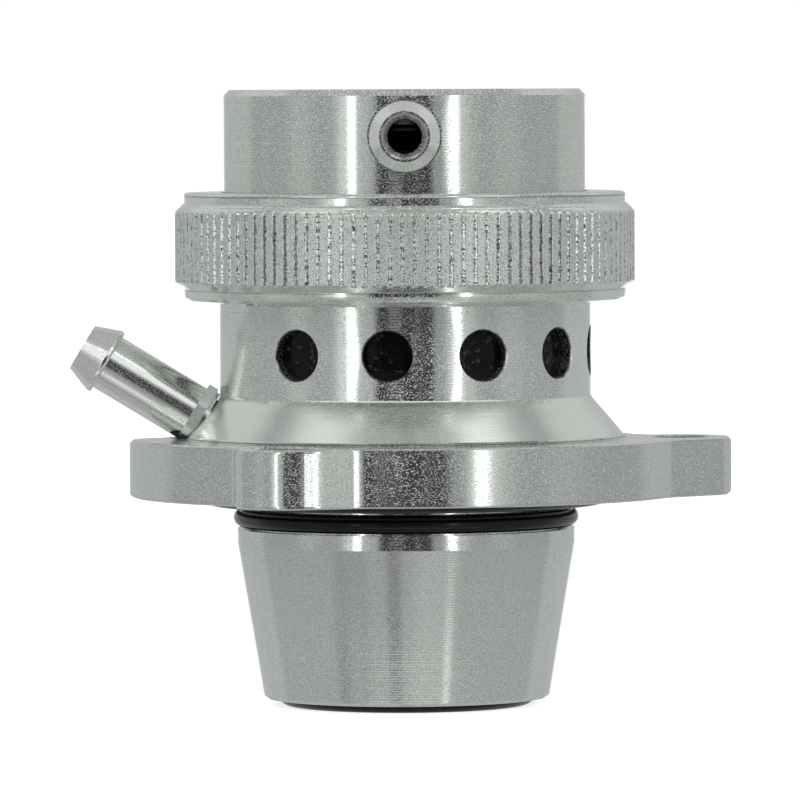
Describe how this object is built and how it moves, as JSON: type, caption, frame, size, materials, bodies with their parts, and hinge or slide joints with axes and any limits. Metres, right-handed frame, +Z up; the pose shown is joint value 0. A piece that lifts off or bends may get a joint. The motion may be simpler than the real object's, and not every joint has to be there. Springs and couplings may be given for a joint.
{
  "type": "blow off valve",
  "caption": "Bolt-on turbocharger blow off valve: flanged body with vent holes and spigot, sprung piston, knurled locking ring, plain cap and two hose nipples.",
  "frame": {"origin": "on the valve's axis, in the flange's mating face", "axes": "+Z up along the axis towards the cap; -Y to the front, where the cap's hose nipple points; the side hose nipple points to -X and up"},
  "size_m": [0.0687, 0.0629, 0.0639],
  "materials": {
    "body_metal": "satin silver anodised, fine turned texture",
    "cap_metal": "satin silver anodised, fine turned texture",
    "ring_metal": "satin silver anodised, straight knurl",
    "nipple_metal": "bright turned steel",
    "piston_metal": "hard anodised black, polished",
    "seal_rubber": "glossy black rubber",
    "spring_steel": "oiled spring wire",
    "fastener_steel": "plain stainless steel",
    "washer_metal": "soft aluminium crush washer",
    "wear_plastic": "carbon-filled slip plastic",
    "slip_plastic": "ivory slip plastic"
  },
  "bodies": {
    "body": {"valve_body": "body_metal", "flange_seal": "seal_rubber", "spigot_seal": "seal_rubber", "seat_seal": "seal_rubber", "cap_seal": "seal_rubber", "side_nipple": "nipple_metal", "side_nipple_seal": "washer_metal"},
    "cap": {"top_cap": "cap_metal", "cap_nipple": "nipple_metal", "cap_nipple_seal": "washer_metal", "spring_shim": "fastener_steel"},
    "ring": {"locking_ring": "ring_metal", "ring_slip_washer": "slip_plastic"},
    "piston": {"piston": "piston_metal", "piston_wear_ring": "wear_plastic", "piston_seal": "seal_rubber", "piston_face_seal": "seal_rubber", "seal_retainer": "fastener_steel", "retainer_screw": "fastener_steel", "spring_foot_washer": "fastener_steel", "return_spring": "spring_steel"}
  },
  "joints": [
    {"name": "piston_lift", "type": "slide", "parent": "body", "child": "piston", "axis": [0, 0, 1], "range_m": [0, 0.0065], "stiffness_N_per_m": 1600, "springref_m": -0.004, "deforming": ["return_spring"]},
    {"name": "cap_swivel", "type": "hinge", "parent": "body", "child": "cap", "pos_m": [0, 0, 0.0274], "axis": [0, 0, 1], "continuous": true},
    {"name": "ring_turn", "type": "hinge", "parent": "body", "child": "ring", "pos_m": [0, 0, 0.0257], "axis": [0, 0, 1], "range_deg": [0, 180]}
  ]
}
